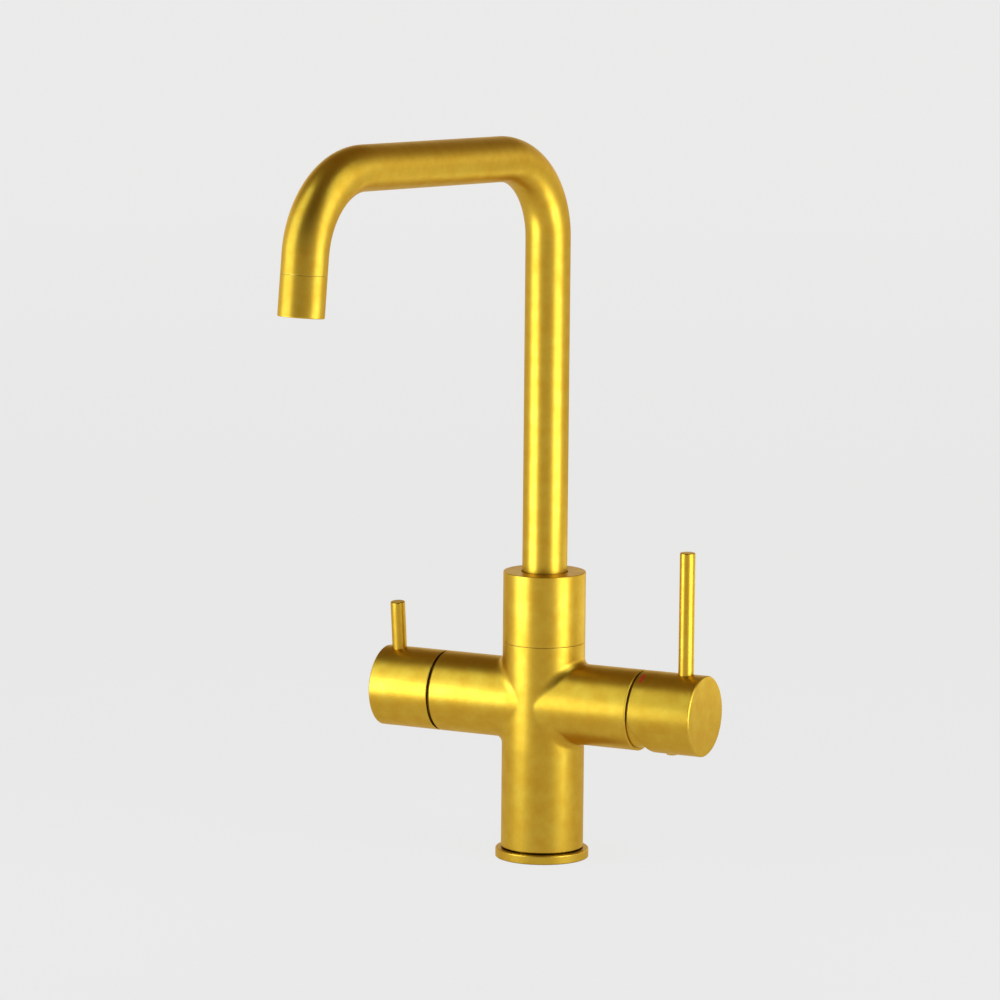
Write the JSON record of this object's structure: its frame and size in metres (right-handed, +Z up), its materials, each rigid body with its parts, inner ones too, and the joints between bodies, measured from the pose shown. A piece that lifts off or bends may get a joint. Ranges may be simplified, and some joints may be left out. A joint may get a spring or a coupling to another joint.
{
  "type": "boiling water mixer tap",
  "caption": "Upright kitchen tap with a turning square-cornered spout, a lift-and-turn mixer handle on one arm and a quarter-turn boiling water handle on the other.",
  "frame": {"origin": "on the worktop, on the column's axis, midway between the two fixing studs", "axes": "+Z up along the column, +X along the mixer arm, -X along the boiling water arm, -Y towards the user"},
  "size_m": [0.1938, 0.2482, 0.4024],
  "materials": {
    "satin_gold": "satin brushed gold coating on brass",
    "plain_brass": "machined, uncoated",
    "stainless": "plain stainless steel",
    "seal_rubber": "moulded rubber",
    "acetal": "moulded acetal",
    "disc_ceramic": "lapped ceramic",
    "red_enamel": "glossy red fill",
    "blue_enamel": "glossy blue fill"
  },
  "bodies": {
    "body": {"body": "satin_gold", "base_ring": "satin_gold", "base_gasket": "seal_rubber", "collar": "satin_gold", "collar_seal": "seal_rubber", "boiling_tube_seal": "seal_rubber", "lower_washer": "acetal", "upper_washer": "acetal", "swivel_stop_pin": "stainless", "cartridge_base": "acetal", "port_seals": "seal_rubber", "fixed_disc": "disc_ceramic", "cartridge_housing": "acetal", "retaining_nut": "plain_brass", "dome_cover": "satin_gold", "seat_seal": "seal_rubber", "valve_bush": "plain_brass", "bush_washer": "plain_brass", "valve_fixed_disc": "disc_ceramic"},
    "spout": {"spout_tube": "satin_gold", "spout_spigot": "plain_brass", "spigot_seals": "seal_rubber", "boiling_tube": "stainless", "outlet_sleeve": "satin_gold", "aerator_washer": "seal_rubber", "aerator_housing": "plain_brass", "aerator_screen": "stainless", "boiling_nozzle": "stainless"},
    "turret": {"turret": "acetal", "pivot_pin": "stainless"},
    "disc": {"sliding_disc": "disc_ceramic", "disc_carrier": "acetal"},
    "mixer_handle": {"mixer_stem": "stainless", "mixer_handle": "satin_gold", "mixer_lever": "satin_gold", "mixer_grub_screw": "stainless", "mixer_plug": "satin_gold", "hot_mark": "red_enamel", "cold_mark": "blue_enamel"},
    "boiling_handle": {"valve_turning_disc": "disc_ceramic", "valve_spindle": "plain_brass", "spindle_seal": "seal_rubber", "spindle_clip": "stainless", "handle_adapter": "acetal", "adapter_screw": "stainless", "boiling_handle": "satin_gold", "boiling_lever": "satin_gold", "boiling_grub_screw": "stainless"}
  },
  "joints": [
    {"name": "spout_swivel", "type": "hinge", "parent": "body", "child": "spout", "pos_m": [0, 0, 0.15], "axis": [0, 0, 1], "range_deg": [-80, 100]},
    {"name": "mixer_temperature", "type": "hinge", "parent": "body", "child": "turret", "pos_m": [0.056, 0, 0.0865], "axis": [1, 0, 0], "range_deg": [-45, 45]},
    {"name": "mixer_lift", "type": "hinge", "parent": "turret", "child": "mixer_handle", "pos_m": [0.056, 0, 0.0865], "axis": [0, 1, 0], "range_deg": [0, 20]},
    {"name": "disc_slide", "type": "slide", "parent": "turret", "child": "disc", "axis": [0, 0, 1], "range_m": [0, 0.0031]},
    {"name": "boiling_turn", "type": "hinge", "parent": "body", "child": "boiling_handle", "pos_m": [-0.0595, 0, 0.0865], "axis": [1, 0, 0], "range_deg": [0, 90]}
  ],
  "couplings": [
    {"joint": "disc_slide", "follows": "mixer_lift", "m_per_rad": 0.0087}
  ]
}
